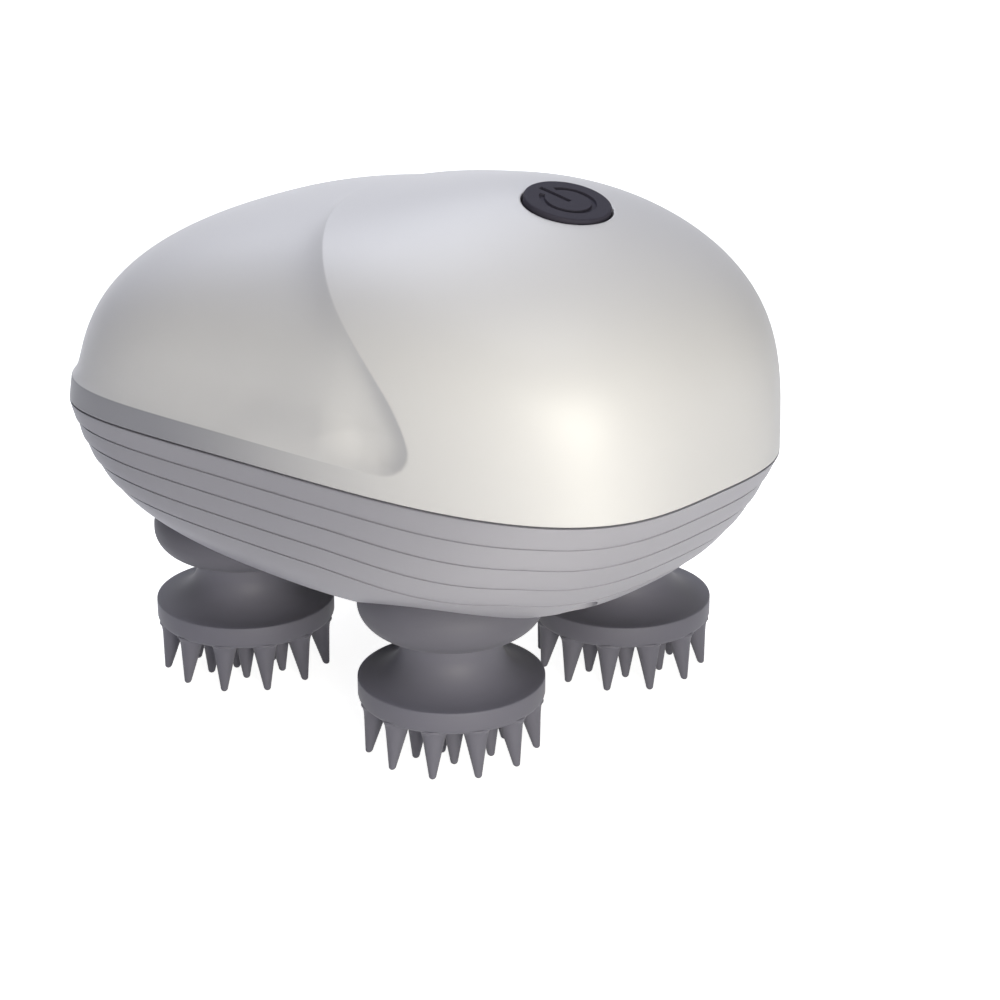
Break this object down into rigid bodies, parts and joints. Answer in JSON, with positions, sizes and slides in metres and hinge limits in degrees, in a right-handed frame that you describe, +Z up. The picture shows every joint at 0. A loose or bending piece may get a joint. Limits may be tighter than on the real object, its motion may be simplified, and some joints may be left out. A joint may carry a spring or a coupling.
{
  "type": "electric scalp massager",
  "caption": "Handheld electric scalp massager: egg-shaped two-shell grip with power button on top and spinning silicone heads with nubs on soft collars below.",
  "frame": {"origin": "middle of the footprint, on the plane of the nub tips", "axes": "+X towards the blunt end with the button, +Y towards the far side, +Z up"},
  "size_m": [0.11, 0.08, 0.0849],
  "materials": {
    "shell_plastic": "satin, light warm grey",
    "lower_plastic": "satin, light cool grey",
    "button_plastic": "fine matte, dark grey",
    "head_silicone": "matte silicone, slate grey",
    "collar_silicone": "matte silicone, slate grey",
    "dark_rubber": "matte",
    "dark_plastic": "matte",
    "steel": "zinc plated or plain steel",
    "brass": "turned brass",
    "gear_plastic": "natural acetal",
    "board_laminate": "green solder mask",
    "cell_wrap": "shrink film",
    "red_lead": "soft sleeve",
    "black_lead": "soft sleeve"
  },
  "bodies": {
    "case": {"upper_shell": "shell_plastic", "lower_shell": "lower_plastic", "case_seal": "dark_rubber", "button_seal": "dark_rubber", "tact_switch": "steel", "control_board": "board_laminate", "board_screw_1": "steel", "board_screw_2": "steel", "battery_cell": "cell_wrap", "battery_cradle": "dark_plastic", "geared_motor": "steel", "sun_axle": "steel", "gear_plate_lower": "dark_plastic", "gear_plate_upper": "dark_plastic", "bush_near_tail": "brass", "collar_near_tail": "collar_silicone", "bush_near_blunt": "brass", "collar_near_blunt": "collar_silicone", "bush_far_blunt": "brass", "collar_far_blunt": "collar_silicone", "bush_far_tail": "brass", "collar_far_tail": "collar_silicone", "case_screw_1": "steel", "case_screw_2": "steel", "case_screw_3": "steel", "case_screw_4": "steel", "charge_contact_1": "brass", "charge_contact_2": "brass", "battery_lead": "red_lead", "motor_lead": "black_lead"},
    "button": {"power_button": "button_plastic", "switch_plunger": "dark_plastic"},
    "pinion": {"motor_pinion": "brass"},
    "sun": {"sun_gear": "gear_plastic"},
    "head_near_tail": {"massage_head_near_tail": "head_silicone", "head_hub_near_tail": "dark_plastic", "drive_shaft_near_tail": "steel", "head_gear_near_tail": "gear_plastic"},
    "head_near_blunt": {"massage_head_near_blunt": "head_silicone", "head_hub_near_blunt": "dark_plastic", "drive_shaft_near_blunt": "steel", "head_gear_near_blunt": "gear_plastic"},
    "head_far_blunt": {"massage_head_far_blunt": "head_silicone", "head_hub_far_blunt": "dark_plastic", "drive_shaft_far_blunt": "steel", "head_gear_far_blunt": "gear_plastic"},
    "head_far_tail": {"massage_head_far_tail": "head_silicone", "head_hub_far_tail": "dark_plastic", "drive_shaft_far_tail": "steel", "head_gear_far_tail": "gear_plastic"}
  },
  "joints": [
    {"name": "near_tail_spin", "type": "hinge", "parent": "case", "child": "head_near_tail", "pos_m": [-0.02547, -0.02067, 0.012], "axis": [0, 0, 1], "continuous": true},
    {"name": "near_blunt_spin", "type": "hinge", "parent": "case", "child": "head_near_blunt", "pos_m": [0.02053, -0.02067, 0.012], "axis": [0, 0, 1], "continuous": true},
    {"name": "far_blunt_spin", "type": "hinge", "parent": "case", "child": "head_far_blunt", "pos_m": [0.02053, 0.02067, 0.012], "axis": [0, 0, 1], "continuous": true},
    {"name": "far_tail_spin", "type": "hinge", "parent": "case", "child": "head_far_tail", "pos_m": [-0.02547, 0.02067, 0.012], "axis": [0, 0, 1], "continuous": true},
    {"name": "sun_spin", "type": "hinge", "parent": "case", "child": "sun", "pos_m": [-0.00247, 0, 0.039], "axis": [0, 0, 1], "continuous": true},
    {"name": "pinion_spin", "type": "hinge", "parent": "case", "child": "pinion", "pos_m": [0.02347, 0, 0.039], "axis": [0, 0, 1], "continuous": true},
    {"name": "power_press", "type": "slide", "parent": "case", "child": "button", "axis": [-0.2198, 0, -0.9755], "range_m": [0, 0.0005], "stiffness_N_per_m": 2000, "springref_m": -0.0002}
  ],
  "couplings": [
    {"joint": "near_tail_spin", "follows": "near_blunt_spin", "ratio": 1},
    {"joint": "far_blunt_spin", "follows": "near_blunt_spin", "ratio": 1},
    {"joint": "far_tail_spin", "follows": "near_blunt_spin", "ratio": 1},
    {"joint": "sun_spin", "follows": "near_blunt_spin", "ratio": -0.47619},
    {"joint": "pinion_spin", "follows": "near_blunt_spin", "ratio": 2}
  ]
}
